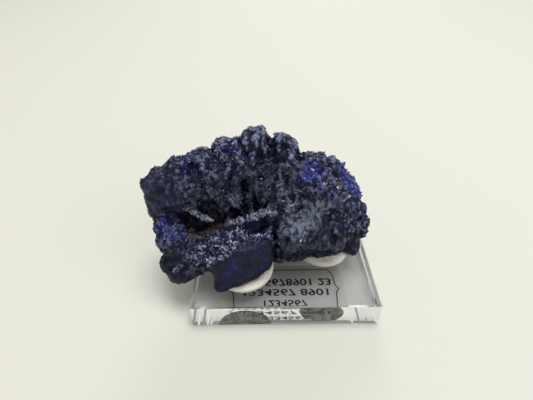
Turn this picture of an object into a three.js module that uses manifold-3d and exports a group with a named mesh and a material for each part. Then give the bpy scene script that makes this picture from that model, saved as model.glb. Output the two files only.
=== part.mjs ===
// An azurite specimen on its display base: a drusy azurite cluster held by two dabs of white putty
// on a clear acrylic block, with a clear film label under the block.
// Millimetres, +Z up, +X to the right of the label side, and -Y towards whoever looks at the front.
// The origin is the centre of the block's underside.

import * as THREE from "three";
import { ConvexGeometry } from "three/addons/geometries/ConvexGeometry.js";
import { ImprovedNoise } from "three/addons/math/ImprovedNoise.js";
import { TessellateModifier } from "three/addons/modifiers/TessellateModifier.js";
import { mergeVertices } from "three/addons/utils/BufferGeometryUtils.js";
import Module from "manifold-3d";

const wasm = await Module();
wasm.setup();

// Driving dimensions
const BLOCK = { side: 50.8, height: 8, edge: 0.35 }; // a 2 inch square block with polished edges
const FILM = { x: 0.4, y: -15.8, width: 33.6, depth: 17.6, thickness: 0.08 };
const FILM_RECESS = 0.1; // depth of the recess under the block, so that the film stays off the table
const FILM_MARGIN = 0.3; // clearance around the film in its recess
const PUTTY = {
  putty_left: { x: -11.6, y: -11.8, width: 17.2, depth: 18.8, height: 2.4 },
  putty_right: { x: 12, y: -4.6, width: 15.4, depth: 15.4, height: 2.4 },
};
const PUTTY_SIDES = 32;
const PUTTY_RIM_STEPS = 4;
const STONE_GAP = 1.2; // the lowest point of the stone above the block
const PUTTY_GAP = 0.35; // clearance between the putty and the stone pressed into it
const FACET = 4.4; // longest facet edge of the stone's big masses
const ROUGH = 0.9; // how far the bumps of the stone stand out
const ROUGH_SIZE = 5; // distance from one bump of the stone to the next

// The big masses of the cluster, each by the corners of its rough outline.
const MASSES = {
  heart: [
    [-20, -2, 17], [-26, 2, 31], [-8, -3, 31], [6, -4.5, 31], [14, -3, 22], [3, -7, 15],
    [-6, -6, 15], [-16, -5, 13], [14, 6, 13], [-14, 10, 15], [8, 12, 28], [-16, 8, 31],
    [-33, -3.5, 27], [-31.5, -5, 15],
  ],
  middle: [
    [-26.5, -1, 38.4], [-21, 1, 41.4], [-17, 2, 42.8], [-11, 2, 43], [-3, 3, 41.5], [4, 2, 39.5],
    [-24, -7, 34], [-17, -7.5, 30], [-8, -5.5, 28], [3, -6.5, 30], [3, -6, 35], [-7, -4.5, 38.5],
    [-22, 8, 32], [-14, 13, 30], [4, 14, 32], [-18, 8, 14], [0, 13, 14], [-4, -4, 21], [-17, -4, 21],
  ],
  wing: [
    [-36.4, -8, 37], [-34.5, -4, 38.2], [-27, -1, 37.4], [-23, -9, 36.5], [-37.2, -6, 30],
    [-36.6, -8.5, 25.5], [-30, -11.5, 27.5], [-21, -9, 30], [-31, -11.5, 34.5], [-24, 4, 30],
    [-33, 3, 30], [-31, 2, 25], [-22, 0, 26],
  ],
  dome: [
    [3.5, -4, 36.5], [8.7, 2, 38.6], [15, 2, 35.4], [18.4, 1, 31.4], [22.6, 0, 27.4], [24.3, -1, 21.5],
    [24, -4, 15], [22, -7.5, 11.5], [10, -8.5, 33], [16.5, -9, 24.5], [20.5, -8.5, 20], [3, -6.5, 28],
    [18.6, -9, 9.8], [6, -6, 10], [3, 14, 31], [15, 12, 27], [21, 7, 16], [11, 16, 18], [6, 12, 11],
    [17, 8, 11],
  ],
  chalk: [
    [0.2, -12, 16], [0.8, -14, 23.5], [3, -12.5, 31], [8, -11.5, 32], [12.5, -13, 24], [17, -11, 17],
    [15.5, -10.5, 10.5], [4, -11.3, 9.2], [0, -10.6, 10.5], [9, -14, 18], [2, -2, 30], [15, -3, 29],
    [18, -3, 12], [2, -2, 12],
  ],
  frontPlate: [
    [-17.2, -21.4, 9.2], [-10, -18.5, 10.3], [-4.3, -14.3, 12.8], [-4.5, -14, 22.5],
    [-6.5, -17, 22], [-12, -19.5, 20], [-20.5, -19.3, 17.5],
    [-5, -10, 23.5], [-12, -11, 23], [-20, -12, 20.5], [-20, -10, 9.5], [-5, -8, 9.5],
  ],
  backPlate: [
    [-18, -9, 21.2], [-10.8, -9.5, 25.2], [-4.2, -9.5, 27], [-4, -3, 26], [-18, -3, 20.5],
    [-4.5, -8, 19], [-14, -8, 17],
  ],
  corner: [
    [-36.6, -8.5, 26], [-35.4, -11, 23], [-33.6, -14, 20], [-33.2, -14.5, 15.5], [-31.4, -16, 12],
    [-28, -18.3, 9.4], [-22.5, -17, 10.5], [-18, -16.5, 17.5], [-18.5, -12, 12], [-25, -13, 21.5],
    [-30, -13, 24], [-31, -8, 26.5], [-30, -6, 12], [-23, -8, 9.6], [-25, -7, 20],
  ],
  foot: [
    [-26, -4, 12], [-20, 8, 13], [-18, -8, 9.2], [-2, -11.5, 9.2], [1, -11.5, 15],
    [8, -10, 9.2], [14, 6, 9.2], [-10, 10, 9.2], [-5, -6, 20],
  ],
};

// The small lobes: where each one is, its radii, and how square it is where it isn't round.
const LOBES = [
  // the steps of the crest, and the two knobs on top
  { at: [-21.5, 0, 36], radii: [3.6, 4.6, 5] },
  { at: [-16, 2, 37.6], radii: [4.6, 4.4, 5] },
  { at: [-7, 2, 41.8], radii: [3.2, 3.1, 4.8] },
  { at: [-9.4, 2, 41.5], radii: [2.3, 2.8, 4.4] },
  { at: [0.1, 2, 39.6], radii: [3.4, 3.4, 3.9], square: 1.4 },
  // the folds of the middle
  { at: [-19.5, -4.5, 33], radii: [2.2, 3.4, 5] },
  { at: [-14.5, -4, 31.5], radii: [2.4, 4, 6.6] },
  { at: [-9.8, -2.2, 32.5], radii: [2, 4, 7.4] },
  { at: [-5.2, -2.2, 33.5], radii: [2, 4, 7.6] },
  { at: [-0.6, -3, 32.5], radii: [2.2, 4, 7.4] },
  { at: [3.4, -3.4, 32.5], radii: [2, 4, 6.6] },
  // the ear and the two spikes at the right end
  { at: [23.4, -4, 18], radii: [1.7, 3, 3.4], detail: 1 },
  { at: [22.4, -7.4, 17.4], radii: [2, 1.4, 1.4], detail: 1 },
  { at: [20, -8.8, 12], radii: [1.8, 1.6, 2.4], detail: 1 },
  // the lower left corner
  { at: [-31, -12, 20], radii: [3.4, 3.6, 4] },
  { at: [-30.2, -14.2, 13.6], radii: [4, 4, 4] },
  { at: [-26.5, -14.8, 13], radii: [4.6, 4.4, 4] },
];

// The open cave under the wing.
const CAVE = { at: [-23, -8.5, 24.5], radii: [6, 4.5, 2.6] };

// ---- solids ----

// A three.js geometry as a manifold-3d solid.
function solidFrom(geometry) {
  geometry.deleteAttribute("normal");
  geometry.deleteAttribute("uv");
  const merged = mergeVertices(geometry, 1e-4);
  const triVerts = new Uint32Array(merged.index.array);
  const vertProperties = new Float32Array(merged.attributes.position.array);
  return new wasm.Manifold(new wasm.Mesh({ numProp: 3, vertProperties, triVerts }));
}

// A manifold-3d solid as a three.js geometry.
function geometryFrom(solid) {
  const mesh = solid.getMesh();
  const geometry = new THREE.BufferGeometry();
  geometry.setAttribute("position", new THREE.BufferAttribute(mesh.vertProperties, 3));
  geometry.setIndex(new THREE.BufferAttribute(mesh.triVerts, 1));
  geometry.computeVertexNormals();
  return geometry;
}

// ---- the azurite ----

const perlin = new ImprovedNoise();

// Fractal noise at a point, from about -1 to 1.
function roughness(point) {
  const { x, y, z } = point.clone().divideScalar(ROUGH_SIZE);
  return perlin.noise(x, y, z) + 0.5 * perlin.noise(2 * x + 7, 2 * y, 2 * z);
}

// Moves the points of a geometry in or out from its centre by the roughness of the stone.
function roughen(geometry, centre) {
  const position = geometry.attributes.position;
  const point = new THREE.Vector3();
  for (let i = 0; i < position.count; i++) {
    point.fromBufferAttribute(position, i);
    const outward = point.clone().sub(centre).normalize();
    point.addScaledVector(outward, ROUGH * roughness(point));
    position.setXYZ(i, point.x, point.y, point.z);
  }
  return geometry;
}

// One lobe: a ball, squared off where that is asked for, stretched to its radii and roughened.
function lobe({ at, radii, square = 1, detail = 2 }, grow = 0) {
  const geometry = new THREE.IcosahedronGeometry(1, detail);
  const position = geometry.attributes.position;
  const point = new THREE.Vector3();
  for (let i = 0; i < position.count; i++) {
    point.fromBufferAttribute(position, i);
    const power = point.toArray().reduce((sum, c) => sum + Math.abs(c) ** (2 * square), 0);
    point.multiplyScalar(power ** (-1 / (2 * square)));
    position.setXYZ(i, point.x, point.y, point.z);
  }
  geometry.scale(...radii.map((radius) => radius + grow)).translate(...at);
  return solidFrom(roughen(geometry, new THREE.Vector3(...at)));
}

// One big mass: the hull of its corners, divided finely enough to be roughened.
function mass(corners, grow = 0) {
  const points = corners.map((corner) => new THREE.Vector3(...corner));
  const centre = points.reduce((sum, point) => sum.add(point), new THREE.Vector3());
  centre.divideScalar(points.length);
  points.forEach((point) => point.add(point.clone().sub(centre).setLength(1.5 * grow)));
  const geometry = new TessellateModifier(FACET, 8).modify(new ConvexGeometry(points));
  return solidFrom(roughen(geometry, centre));
}

// The whole cluster, or what it takes up with room to spare on every side.
function cluster(grow = 0) {
  const masses = Object.values(MASSES).map((corners) => mass(corners, grow));
  const lobes = LOBES.map((one) => lobe(one, grow));
  const whole = [...masses, ...lobes].reduce((all, one) => all.add(one));
  const floor = BLOCK.height + STONE_GAP - grow;
  const below = solidFrom(new THREE.BoxGeometry(200, 200, 20).translate(0, 0, floor - 10));
  return whole.subtract(lobe(CAVE, -grow)).subtract(below);
}

// ---- the putty, the block and the film ----

// A dab of putty with a rounded rim, and the print of the stone in its top.
function puttyGeometry({ x, y, width, depth, height }, stone) {
  const rim = height / depth;
  const profile = [new THREE.Vector2(0, 0)];
  for (let i = 0; i <= PUTTY_RIM_STEPS; i++) {
    const angle = -Math.PI / 2 + (Math.PI * i) / PUTTY_RIM_STEPS;
    const fromAxis = 1 - rim + rim * Math.cos(angle);
    profile.push(new THREE.Vector2(fromAxis, (height / 2) * (1 + Math.sin(angle))));
  }
  profile.push(new THREE.Vector2(0, height));
  const dab = new THREE.LatheGeometry(profile, PUTTY_SIDES).rotateX(Math.PI / 2);
  dab.scale(width / 2, depth / 2, 1).translate(x, y, BLOCK.height);
  return geometryFrom(solidFrom(dab).subtract(stone));
}

// A square slab with all its edges broken, from z = 0 up.
function slabGeometry({ side, height, edge }) {
  const half = side / 2 - edge;
  const outline = new THREE.Shape();
  outline.moveTo(-half, -half).lineTo(half, -half).lineTo(half, half).lineTo(-half, half).closePath();
  const options = { depth: height - 2 * edge, bevelSegments: 1, bevelSize: edge, bevelThickness: edge };
  return new THREE.ExtrudeGeometry(outline, options).translate(0, 0, edge);
}

function blockGeometry() {
  const recess = new THREE.BoxGeometry(
    FILM.width + 2 * FILM_MARGIN, FILM.depth + 2 * FILM_MARGIN, 2 * FILM_RECESS,
  );
  recess.translate(FILM.x, FILM.y, 0);
  return geometryFrom(solidFrom(slabGeometry(BLOCK)).subtract(solidFrom(recess)));
}

const specimen = new THREE.Group();

function addNode(name, geometry, material) {
  const mesh = new THREE.Mesh(geometry, new THREE.MeshStandardMaterial({ metalness: 0, ...material }));
  mesh.name = name;
  specimen.add(mesh);
  return mesh;
}

addNode("azurite_cluster", geometryFrom(cluster()), { color: 0x1a2152, roughness: 0.45 });

const print = cluster(PUTTY_GAP);
for (const [name, size] of Object.entries(PUTTY)) {
  addNode(name, puttyGeometry(size, print), { color: 0xe9e2d2, roughness: 0.7 });
}

addNode("acrylic_block", blockGeometry(), { color: 0xeef2f2, roughness: 0.05 });

const film = new THREE.BoxGeometry(FILM.width, FILM.depth, FILM.thickness);
film.translate(FILM.x, FILM.y, FILM_RECESS - FILM.thickness / 2);
addNode("label_film", film, { color: 0xdfe2e0, roughness: 0.2 });

export default specimen;
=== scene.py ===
"""The looks of an azurite specimen on its display base.

The stone is the CAD cluster, remeshed and worked over zone by zone, with a crust of small crystals
grown on it. It stands in two dabs of putty on a clear acrylic block with a film label under it.
Shapes are worked out in millimetres and turned into metres when a piece is finished.
"""

import logging
import math
from collections.abc import Callable, Iterable
from dataclasses import dataclass, field, fields
from typing import ClassVar

import bmesh
import bpy
import numpy as np
from bmesh.types import BMesh, BMVert
from bpy.types import ID, Material, Mesh, NodeSocket, NodeTree, Object, bpy_prop_collection
from mathutils import Matrix, Vector, noise
from mathutils.bvhtree import BVHTree


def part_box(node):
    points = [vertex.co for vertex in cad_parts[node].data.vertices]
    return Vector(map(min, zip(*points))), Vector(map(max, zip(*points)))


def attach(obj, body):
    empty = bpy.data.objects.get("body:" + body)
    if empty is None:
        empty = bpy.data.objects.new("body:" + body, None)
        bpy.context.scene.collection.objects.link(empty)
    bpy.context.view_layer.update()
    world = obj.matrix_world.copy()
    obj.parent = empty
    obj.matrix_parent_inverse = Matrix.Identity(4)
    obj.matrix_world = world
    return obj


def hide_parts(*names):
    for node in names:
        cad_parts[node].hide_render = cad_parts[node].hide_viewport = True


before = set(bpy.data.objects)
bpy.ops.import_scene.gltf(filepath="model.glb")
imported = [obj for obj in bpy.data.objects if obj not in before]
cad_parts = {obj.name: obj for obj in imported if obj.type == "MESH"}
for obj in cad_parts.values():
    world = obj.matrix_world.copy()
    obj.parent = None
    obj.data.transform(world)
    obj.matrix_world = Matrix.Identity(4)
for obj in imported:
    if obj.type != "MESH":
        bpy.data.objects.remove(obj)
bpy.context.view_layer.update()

log = logging.getLogger("azurite_specimen")

MM = 0.001  # metres in a millimetre
SEED = 41  # of the draws of the crystals
NOISE_SEED = 1  # of the noise that bends edges and blades, which starts from the clock otherwise
RAGGED = 0.9  # mm, how far the edges of the zones wander
RAGGED_SIZE = 3.5  # mm from one bend of those edges to the next

# the grey-lavender share is part bloom and part painted sheen, and proud places painted sheen and painted
# shade
MARKS = ("vivid", "chalk", "stain", "bloom_and_painted_sheen", "proud")  # the traits that the materials read

Array = np.ndarray
Point = tuple[float, float, float]


# ---- shared helpers ----


def linear(colour: str) -> tuple[float, float, float, float]:
    """Turns an sRGB hex colour into the linear colour that the shaders work in.

    Args:
        colour: the colour, such as "#1a2b6f".

    Returns:
        Red, green, blue and an alpha of one.
    """
    channels = [int(colour[i : i + 2], 16) / 255 for i in (1, 3, 5)]
    red, green, blue = (c / 12.92 if c <= 0.04045 else ((c + 0.055) / 1.055) ** 2.4 for c in channels)
    return red, green, blue, 1.0


def add_node(
    tree: NodeTree,
    kind: str,
    inputs: dict | None = None,
    output: int | str = 0,
    **settings: object,
) -> NodeSocket | None:
    """Adds a node with its settings, its socket values and its links.

    Args:
        tree: the node tree that takes the node.
        kind: Blender's type name for the node.
        inputs: a value or another node's output for each input, by name or number.
        output: the output that is wanted, by name or number.
        settings: the node's own properties.

    Returns:
        That output, or None if the node has no outputs.
    """
    node = tree.nodes.new(kind)
    for name, value in settings.items():
        setattr(node, name, value)
    for key, value in (inputs or {}).items():
        if isinstance(value, NodeSocket):
            tree.links.new(value, node.inputs[key])
        else:
            node.inputs[key].default_value = value
    return node.outputs[output] if node.outputs else None


def linked(name: str, data: ID) -> Object:
    """Makes an object of some data and links it to the scene.

    Args:
        name: its name.
        data: its mesh, text, camera or lamp.

    Returns:
        The object.
    """
    thing = bpy.data.objects.new(name, data)
    bpy.context.scene.collection.objects.link(thing)
    return thing


def as_mesh(name: str, shape: BMesh) -> Mesh:
    """Turns a bmesh into a mesh and frees it.

    Args:
        name: the name of the mesh.
        shape: the bmesh.

    Returns:
        The mesh.
    """
    mesh = bpy.data.meshes.new(name)
    shape.to_mesh(mesh)
    shape.free()
    return mesh


def applied(thing: Object) -> Mesh:
    """Applies the modifiers or the text of an object, and removes the object.

    Args:
        thing: the object.

    Returns:
        What it looked like, as a mesh.
    """
    depsgraph = bpy.context.evaluated_depsgraph_get()
    mesh = bpy.data.meshes.new_from_object(thing.evaluated_get(depsgraph))
    bpy.data.objects.remove(thing)
    return mesh


def finish_piece(
    name: str,
    mesh: Mesh,
    material: Material,
    replaces: Iterable[str] = (),
    smooth: bool = True,
) -> Object:
    """Turns a mesh in millimetres into a dressed piece that rides on the root body.

    Args:
        name: the name of the piece.
        mesh: the mesh, with its place in it, in millimetres.
        material: the finish of the piece.
        replaces: the CAD nodes that the piece stands for.
        smooth: whether the faces are shaded smooth.

    Returns:
        The piece, linked to the scene at the origin.
    """
    mesh.name = name
    mesh.transform(Matrix.Scale(MM, 4))
    mesh.polygons.foreach_set("use_smooth", np.full(len(mesh.polygons), smooth))
    mesh.materials.clear()
    mesh.materials.append(material)
    mesh.update()
    piece = linked(name, mesh)
    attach(piece, "root")
    if replaces:
        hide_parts(*replaces)
    mesh.calc_loop_triangles()
    log.info("%s: %d triangles", name, len(mesh.loop_triangles))
    return piece


def read_rows(items: bpy_prop_collection, what: str, width: int, kind: type = np.int32) -> Array:
    """Reads a property of all items of a mesh.

    Args:
        items: the items, such as the mesh's edges.
        what: the name of the property.
        width: how many numbers it has for each item.
        kind: the kind of the numbers.

    Returns:
        A row of numbers for each item.
    """
    flat = np.empty(width * len(items), kind)
    items.foreach_get(what, flat)
    return flat.reshape(-1, width)


def read_points(mesh: Mesh, what: str = "co") -> Array:
    """Reads the places or the normals of a mesh's vertices as rows of x, y and z."""
    return read_rows(mesh.vertices, what, 3, np.float32).astype(float)


def write_points(mesh: Mesh, points: Array) -> None:
    """Writes rows of x, y and z back as the places of a mesh's vertices."""
    mesh.vertices.foreach_set("co", points.astype(np.float32).ravel())
    mesh.update()


def write_attribute(mesh: Mesh, name: str, values: Array) -> None:
    """Stores one number for each vertex under a name that the materials read."""
    layer = mesh.attributes.new(name, "FLOAT", "POINT")
    layer.data.foreach_set("value", values.astype(np.float32))


def sample(function: Callable[[Vector], float], points: Array) -> Array:
    """Works a function of one point out for every row of points."""
    return np.fromiter((function(Vector(p)) for p in points), float, len(points))


def remeshed(source: BMesh, voxel: float) -> Mesh:
    """Wraps overlapping closed shells in one even skin.

    Args:
        source: the shells, which are freed here.
        voxel: the spacing of the new skin's vertices.

    Returns:
        The new mesh.
    """
    mesh = as_mesh("shells", source)
    wrapped = linked("shells", mesh)
    modifier = wrapped.modifiers.new("Skin", "REMESH")
    modifier.mode = "VOXEL"
    modifier.voxel_size = voxel
    skin = applied(wrapped)
    bpy.data.meshes.remove(mesh)
    return skin


# ---- the zones of the stone ----


@dataclass(frozen=True)
class Patch:
    """A soft-edged ellipsoid, or one swept from its start to its end, in millimetres."""

    start: Point
    radii: Point
    end: Point | None = None
    softness: float = 0.3

    def weight(self, points: Array) -> Array:
        """Tells how far points belong to the patch.

        Args:
            points: rows of x, y and z.

        Returns:
            One well inside the patch, zero well outside it, and a smooth ramp between.
        """
        radii = np.array(self.radii)
        offset = (points - self.start) / radii
        run = (np.array(self.end or self.start) - self.start) / radii
        along = np.clip(offset @ run / max(run @ run, 1e-9), 0, 1)
        distance = np.linalg.norm(offset - along[:, None] * run, axis=1)
        ramp = np.clip((1 + self.softness - distance) / (2 * self.softness), 0, 1)
        return ramp * ramp * (3 - 2 * ramp)


@dataclass(frozen=True)
class Traits:
    """How a zone looks. Heights are millimetres; colours are shares from 0 to 1."""

    lumps: float = 0.8  # height of the broad lumps
    blades: float = 0.7  # height of the upright blades
    steps: float = 0.0  # height of the stair steps
    grains: float = 0.34  # height of the rounded grains
    stripes: float = 0.0  # height of the growth stripes
    crystals: float = 0.9  # crystals in a square millimetre
    length: float = 0.62  # length of a crystal
    vivid: float = 0.2
    chalk: float = 0.0
    stain: float = 0.0
    # share of the grey-lavender that is part bloom and part painted sheen on what stands proud
    bloom_and_painted_sheen: float = 0.28


# The stretches of the stone that look different, each with its traits and where it lies.
# A later one lies over an earlier one.
ZONES: tuple[tuple[Traits | Patch, ...], ...] = (
    (  # the finely drusy dome at the right
        Traits(grains=0.42, vivid=0.32, bloom_and_painted_sheen=0.55),
        Patch((14, 0, 27), (14, 18, 15)),
    ),
    (  # the bright blue patch on the dome
        Traits(lumps=0.6, blades=0.3, grains=0.45, vivid=0.65, bloom_and_painted_sheen=0.55),
        Patch((7, -4, 35), (4, 4.5, 4)),
        Patch((16.5, 1, 33), (2.6, 4, 2.6), end=(21, 0, 28)),
        Patch((9, 9, 30), (4, 4, 3.5)),
    ),
    (  # the upright blades under the knobs
        Traits(lumps=1.1, blades=2.6, grains=0.3, crystals=2.4, vivid=0.14, chalk=0.08, bloom_and_painted_sheen=0.18),
        Patch((-9, -5, 32), (13, 7, 9.5)),
    ),
    (  # the streaks of chalky bloom beside the folds
        Traits(lumps=1.1, blades=2, crystals=2.6, vivid=0.25, chalk=0.42, bloom_and_painted_sheen=0.3),
        Patch((-0.5, -6, 36), (2.6, 4, 3), end=(1.5, -11, 29)),
        Patch((-13.5, -7, 31), (1.7, 4, 1.6), end=(-12.5, -8, 28)),
    ),
    (  # the stepped ridge between the wing and the knobs
        Traits(lumps=0.9, steps=0.9, grains=0.42, crystals=1, vivid=0.42, bloom_and_painted_sheen=0.66),
        Patch((-18, 1, 40), (10, 9, 5.5)),
    ),
    (  # the two knobs on top
        Traits(blades=1.1, grains=0.18, crystals=0.4, vivid=0.25, bloom_and_painted_sheen=1),
        Patch((-7.5, 2, 43), (4.6, 6, 5.5)),
        Patch((0.3, 2, 41), (4.4, 6, 4)),
    ),
    (  # the smoother grey-blue wing at the left
        Traits(blades=0.2, grains=0.15, crystals=0.1, length=0.5, vivid=0.35, bloom_and_painted_sheen=0.1),
        Patch((-33, -7.5, 32), (6, 7, 6.5)),
    ),
    (  # the dark smooth skirt under the dome
        Traits(lumps=1, blades=0.3, grains=0.2, crystals=0.2, length=0.5, bloom_and_painted_sheen=0.2),
        Patch((6, -11, 11.5), (5, 5, 4), end=(19, -9, 14)),
        Patch((14, -11, 18), (4, 4, 4)),
    ),
    (  # the smooth lobe at the front right
        Traits(lumps=0.7, blades=0.2, grains=0.12, crystals=0.1, length=0.5, vivid=0, chalk=0.25, bloom_and_painted_sheen=0.1),
        Patch((3, -14, 17.5), (5.5, 5, 5)),
        Patch((9, -12, 22.5), (3.5, 4, 5)),
    ),
    (  # the chalky bloom on top of that lobe
        Traits(lumps=0.7, blades=0.2, grains=0.15, crystals=0.1, length=0.5, vivid=0, chalk=0.75, bloom_and_painted_sheen=0.2),
        Patch((1, -13.5, 25), (3, 4, 2.4), end=(4.5, -13, 26.5)),
        Patch((8.5, -12, 30), (3.8, 3.5, 3.4)),
    ),
    (  # the grey lobes of the lower left corner
        Traits(lumps=1.3, blades=0.2, grains=0.2, crystals=0.2, length=0.5, vivid=0.05, bloom_and_painted_sheen=0.02),
        Patch((-30.5, -15, 14), (6, 5, 4.6)),
        Patch((-26.5, -16.5, 10.5), (6, 5, 3.6)),
    ),
    (  # the bright blue shelf at the left, rough with crystals
        Traits(lumps=0.6, blades=0, grains=0.25, stripes=0.1, crystals=2.5, vivid=0.55, bloom_and_painted_sheen=0.5),
        Patch((-30, -12, 24), (5, 4.5, 3.6)),
    ),
    (  # the open cave under the wing
        Traits(blades=0.3, grains=0.35, crystals=0.3, length=0.5, vivid=0, stain=0.2, bloom_and_painted_sheen=0.12),
        Patch((-24, -5.5, 21.5), (6, 5, 5)),
    ),
    (  # the brown stain at the mouth of the cave
        Traits(lumps=0.4, blades=0, grains=0.3, crystals=0.5, length=0.6, vivid=0, stain=0.7),
        Patch((-24, -11, 21.7), (2.2, 2, 1.6), end=(-18.5, -8.7, 22.3)),
        Patch((-20.5, -9, 21), (3, 2.2, 1.4)),
        Patch((-18.5, -8.7, 22.6), (1.8, 2, 1.4), end=(-15, -7.9, 23.2)),
    ),
    (  # the light rim of the back plate
        Traits(lumps=0.3, blades=0, grains=0.12, crystals=9, length=0.55, vivid=0.1, chalk=0.9, bloom_and_painted_sheen=1),
        Patch((-15.5, -8.6, 22.6), (1.4, 2, 0.9), end=(-4, -10, 28)),
        Patch((-25.6, -9.8, 27.7), (1.2, 1.6, 1.3), end=(-18.9, -9.8, 23.8)),
        Patch((-29.4, -17, 14), (0.7, 1.5, 0.6), end=(-28, -17.3, 15)),
    ),
    (  # the dark hollow face behind the band
        Traits(lumps=0.4, blades=0, grains=0.2, crystals=0.4, vivid=0.45, bloom_and_painted_sheen=0.35),
        Patch((-9.5, -9, 22.6), (2.2, 3.5, 2), end=(-5, -9, 22.8)),
    ),
    (  # the glittering band along the front plate
        Traits(lumps=0.5, blades=0, grains=0.35, crystals=9, length=0.75, vivid=0.3, bloom_and_painted_sheen=1),
        Patch((-22.5, -16, 17.5), (3.6, 3.4, 3), end=(-14.5, -15, 21)),
        Patch((-14, -13, 22), (1.8, 2, 1.4), end=(-5, -12.2, 22.6)),
    ),
    (  # the dark striped face of the front plate
        Traits(lumps=0.3, blades=0, grains=0.1, stripes=0.08, crystals=0, vivid=0.32, bloom_and_painted_sheen=0),
        Patch((-16.5, -21, 13), (4.5, 4.2, 7), end=(-6, -17.5, 17.5), softness=0.1),
    ),
)


def traits_at(points: Array) -> dict[str, Array]:
    """Blends the traits of the zones at every point.

    Args:
        points: rows of x, y and z in millimetres.

    Returns:
        One value for each point under the name of each trait.
    """
    names = [one.name for one in fields(Traits)]
    blend = np.tile([getattr(Traits(), name) for name in names], (len(points), 1))
    ragged = np.array([noise.noise_vector(Vector(p) / RAGGED_SIZE) for p in points])
    places = points + RAGGED * ragged
    for traits, *patches in ZONES:
        weight = np.max([patch.weight(places) for patch in patches], axis=0)[:, None]
        row = np.array([getattr(traits, name) for name in names])
        blend += weight * (row - blend)
    return dict(zip(names, blend.T, strict=True))


# ---- finishes ----


Factor = NodeSocket | tuple  # a share, or a share that is ramped first


def product(tree: NodeTree, *factors: Factor) -> NodeSocket:
    """Multiplies factors.

    Args:
        tree: the material's node tree.
        factors: sockets. One in a tuple is followed by the values where a smooth ramp starts and
            ends, and then by what the ramp gives there, unless that is 0 and 1.

    Returns:
        Their product.
    """
    total = None
    for factor in factors:
        if isinstance(factor, tuple):
            ramp = dict(enumerate(factor))
            factor = add_node(tree, "ShaderNodeMapRange", ramp, interpolation_type="SMOOTHSTEP")
        if total is None:
            total = factor
        else:
            total = add_node(tree, "ShaderNodeMath", {0: total, 1: factor}, operation="MULTIPLY")
    return total


def layered(tree: NodeTree, base: str, *layers: tuple) -> NodeSocket:
    """Lays tints over a base colour, one after the other.

    Args:
        tree: the material's node tree.
        base: the sRGB hex colour at the bottom.
        layers: an sRGB hex colour and the factors of its share for each layer.

    Returns:
        The colour on top.
    """
    colour = linear(base)
    for tint, *factors in layers:
        inputs = {0: product(tree, *factors), 6: colour, 7: linear(tint)}
        colour = add_node(tree, "ShaderNodeMix", inputs, 2, data_type="RGBA")
    return colour


@dataclass(frozen=True)
class Finish:
    """What the finishes share: each fills the sockets of one principled shader."""

    name: ClassVar[str]

    def sockets(self, tree: NodeTree) -> dict:
        """Gives a value or an output for each of the shader's sockets that the finish sets."""
        raise NotImplementedError

    def body(self, tree: NodeTree) -> dict:
        """Gives the material's volume, if it has one."""
        return {}

    def material(self) -> Material:
        """Builds the finish as a material.

        Returns:
            The material, with one shader and what the finish feeds to it.
        """
        material = bpy.data.materials.new(self.name)
        material.use_nodes = True
        tree = material.node_tree
        tree.nodes.clear()
        shader = add_node(tree, "ShaderNodeBsdfPrincipled", self.sockets(tree))
        add_node(tree, "ShaderNodeOutputMaterial", {"Surface": shader} | self.body(tree))
        return material


@dataclass(frozen=True)
class AzuriteCrust(Finish):
    """Azurite in the mass, a compact crust of grains each too small to see.

    It is near black where the blue is thick, ultramarine in patches, and darker still in the creases,
    which is painted shade. What stands proud gets a grey-lavender colour that is part bloom and part
    painted sheen.
    """

    name: ClassVar[str] = "azurite_crust"
    deep: str = "#0c112c"
    blue: str = "#2832a2"
    # part bloom, part painted sheen, laid on what stands proud
    bloom_and_painted_sheen: str = "#868cb0"
    chalky: str = "#848fa6"
    rusty: str = "#746048"
    ior: float = 1.73
    gloss: tuple[float, float] = (0.3, 0.6)  # roughness of the smoothest and roughest grains
    sheen: float = 0.16  # the grains' pits swallow more than half of the gloss
    pits: float = 0.15  # mm, depth of those pits
    patch_size: float = 4.0  # mm between one blue patch and the next
    mottle_size: float = 1.0  # mm between one mottle of the bloom and the next
    fibre: float = 0.55  # how much the mottles are drawn out upwards, as the inverse
    grit: float = 0.35  # mm between the grains of the sheen

    def sockets(self, tree: NodeTree) -> dict:
        """Colours the skin by the marks that are stored at each of its vertices.

        Args:
            tree: the node tree of the material.

        Returns:
            The sockets of a blotchy blue skin, with painted sheen, part bloom, where it stands proud
            and painted shade in its creases.
        """
        where = add_node(tree, "ShaderNodeTexCoord", output="Object")
        place = add_node(tree, "ShaderNodeMapping", {"Vector": where, "Scale": (1, 1, self.fibre)})
        vivid, chalk, stain, bloom_and_painted_sheen, proud = (
            add_node(tree, "ShaderNodeAttribute", output="Fac", attribute_name=name) for name in MARKS
        )
        patches, mottles, grit = (
            add_node(
                tree,
                "ShaderNodeTexNoise",
                {"Vector": place, "Scale": 1 / (size * MM), "Detail": detail, "Roughness": 0.65},
            )
            for size, detail in ((self.patch_size, 6), (self.mottle_size, 4), (self.grit, 2))
        )
        reach = vivid
        for texture in (patches, mottles):
            reach = add_node(tree, "ShaderNodeMath", {0: reach, 1: texture})
        colour = layered(
            tree,
            self.deep,
            (self.blue, (reach, 1.35, 1.85)),
            # painted sheen, part bloom: grey-lavender where the skin stands proud
            (self.bloom_and_painted_sheen, bloom_and_painted_sheen, (proud, 0, 0.32), (mottles, 0.44, 0.6, 0.08, 1.35)),
            (self.chalky, chalk, (mottles, 0.38, 0.6)),
            (self.rusty, stain, (mottles, 0.38, 0.6)),
            # painted shade: the deep colour again in the creases
            (self.deep, (proud, -0.1, -0.5)),
        )
        bump = {"Height": grit, "Strength": 0.7, "Distance": self.pits * MM}
        return {
            "Base Color": colour,
            "Roughness": product(tree, (grit, 0.35, 0.65, *self.gloss)),
            "Normal": add_node(tree, "ShaderNodeBump", bump),
            "IOR": self.ior,
            "Specular IOR Level": self.sheen,
        }


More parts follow.
